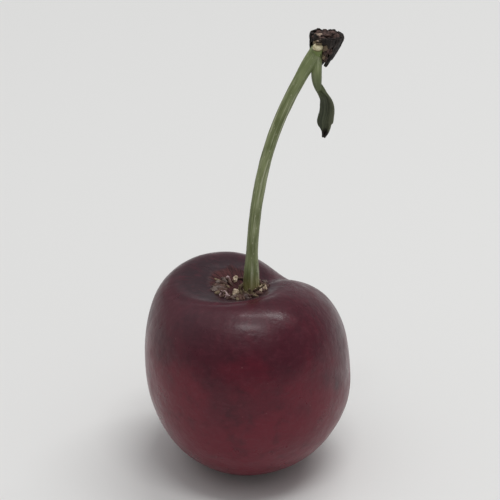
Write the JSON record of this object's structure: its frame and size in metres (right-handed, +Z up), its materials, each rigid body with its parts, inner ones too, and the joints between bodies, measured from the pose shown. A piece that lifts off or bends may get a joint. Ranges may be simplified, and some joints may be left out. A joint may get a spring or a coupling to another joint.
{
  "type": "cherry",
  "caption": "Whole ripe dark sweet cherry as picked: rounded fruit with a stem cavity, curved green stem, dry bud scales and a small bract. Stands on its blossom end as food or set dressing.",
  "frame": {"origin": "centre of the small flat spot at the blossom end that the fruit rests on", "axes": "+Z up from the resting spot towards the stem, X across the fruit's narrower way with the stem bending towards +X, Y from cheek to cheek"},
  "size_m": [0.0262, 0.0288, 0.0576],
  "materials": {
    "cherry_skin": "smooth dark maroon skin with a soft waxy gloss",
    "dry_receptacle": "dry torn cream and brown tissue",
    "green_stem": "fresh green stalk, satin, with fine lengthwise fibres",
    "dry_scales": "dry dark brown papery scales",
    "bract_leaf": "small wilted green leaf, matte"
  },
  "bodies": {
    "root": {"fruit": "cherry_skin", "torn_receptacle": "dry_receptacle", "stem": "green_stem", "bud_scales": "dry_scales", "bract": "bract_leaf"}
  },
  "joints": []
}
